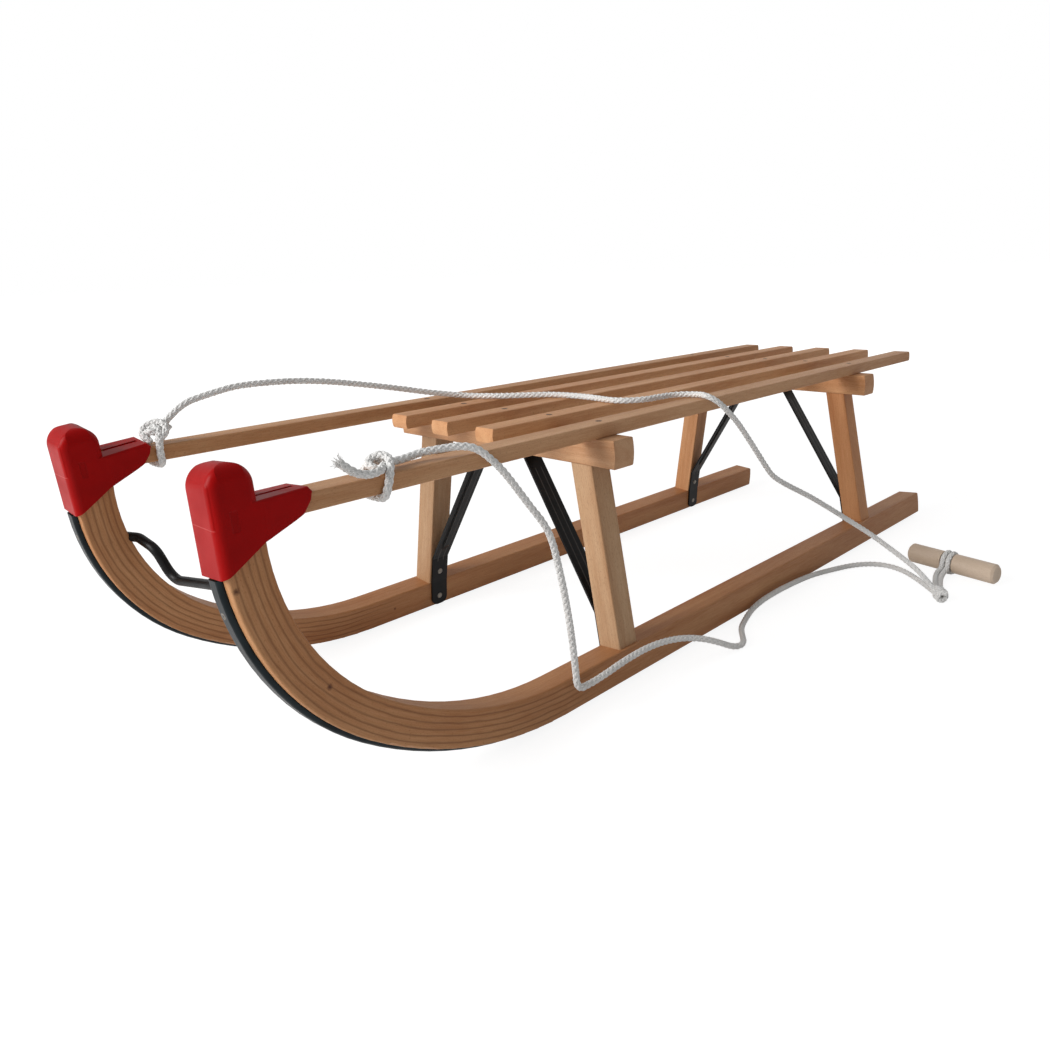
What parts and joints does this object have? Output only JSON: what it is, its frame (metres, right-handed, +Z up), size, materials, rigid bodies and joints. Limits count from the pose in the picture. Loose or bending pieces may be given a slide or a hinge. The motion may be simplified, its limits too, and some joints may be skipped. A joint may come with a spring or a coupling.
{
  "type": "davos sled",
  "caption": "Wooden sled with upswept laminated runners, slatted seat, plastic nose caps, steel braces and a tow rope with a wooden handle.",
  "frame": {"origin": "bottom centre of the whole sled on the floor", "axes": "+X forwards to the nose caps, +Y to the sled's left, +Z up"},
  "size_m": [1.1061, 0.5361, 0.3061],
  "materials": {
    "beech": "satin",
    "handle_wood": "matte",
    "steel": "satin",
    "black_paint": "satin",
    "red_plastic": "gloss",
    "rope": "matte"
  },
  "bodies": {
    "root": {"slat_right": "beech", "slat_centre": "beech", "slat_left": "beech", "side_rail_right": "beech", "side_rail_left": "beech", "crossbar_front": "beech", "crossbar_rear": "beech", "leg_front_left": "beech", "leg_front_right": "beech", "leg_rear_left": "beech", "leg_rear_right": "beech", "runner_left": "beech", "runner_right": "beech", "shoe_left": "steel", "shoe_right": "steel", "brace_front_left": "black_paint", "brace_front_right": "black_paint", "brace_rear_left": "black_paint", "brace_rear_right": "black_paint", "front_stay": "black_paint", "cap_left": "red_plastic", "cap_right": "red_plastic", "rope_right": "rope", "rope_left": "rope", "knot_right": "rope", "knot_left": "rope", "knot_handle": "rope", "handle": "handle_wood"}
  },
  "joints": []
}
